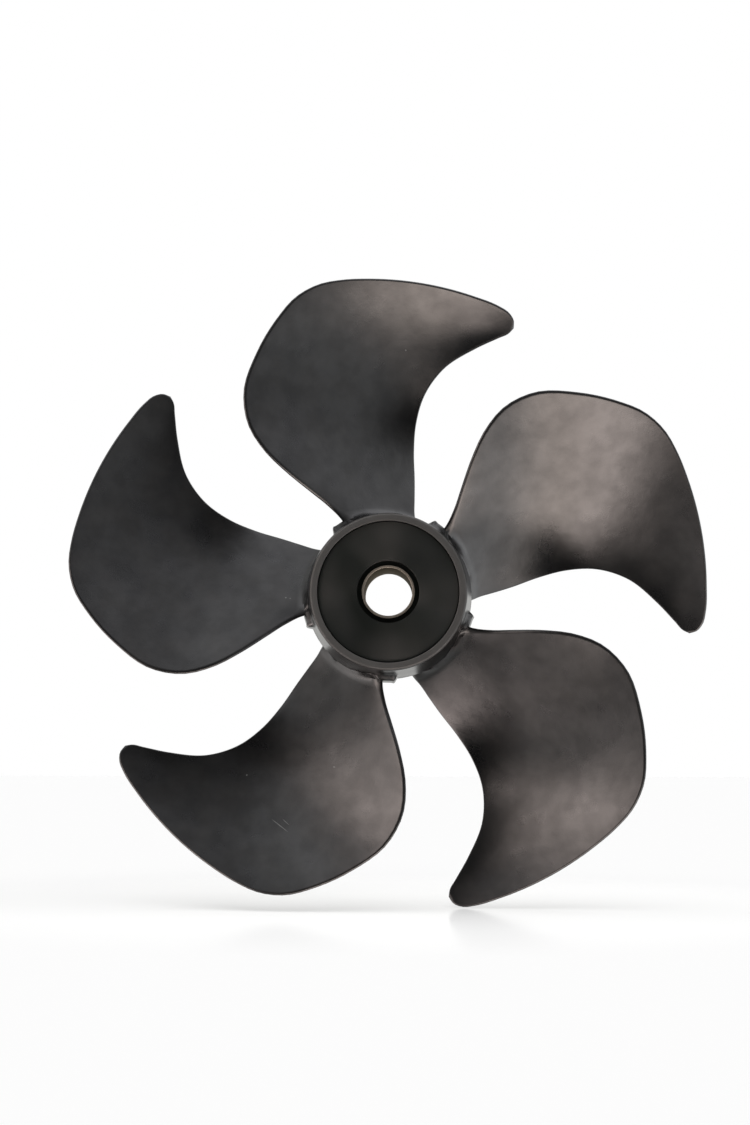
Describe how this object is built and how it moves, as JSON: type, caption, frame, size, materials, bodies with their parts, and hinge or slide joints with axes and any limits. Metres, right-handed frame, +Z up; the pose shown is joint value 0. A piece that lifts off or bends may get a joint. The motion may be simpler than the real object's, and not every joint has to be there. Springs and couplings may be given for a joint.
{
  "type": "five-bladed tunnel thruster propeller",
  "caption": "Skewed composite propeller for a tunnel thruster, with a moulded hub, a flat front disc and a metal shaft bush.",
  "frame": {"origin": "on the shaft axis, in the plane of the hub's rear rim", "axes": "+Y along the shaft axis towards the drive side, +Z up through blade 1"},
  "size_m": [0.2445, 0.046, 0.2418],
  "materials": {
    "moulding": "satin black moulded plastic with a faint mottle",
    "core": "smooth black plastic with fine turning marks",
    "bush": "turned grey metal"
  },
  "bodies": {
    "root": {"hub_barrel": "moulding", "hub_core": "core", "shaft_bush": "bush", "blade_1": "moulding", "blade_2": "moulding", "blade_3": "moulding", "blade_4": "moulding", "blade_5": "moulding"}
  },
  "joints": []
}
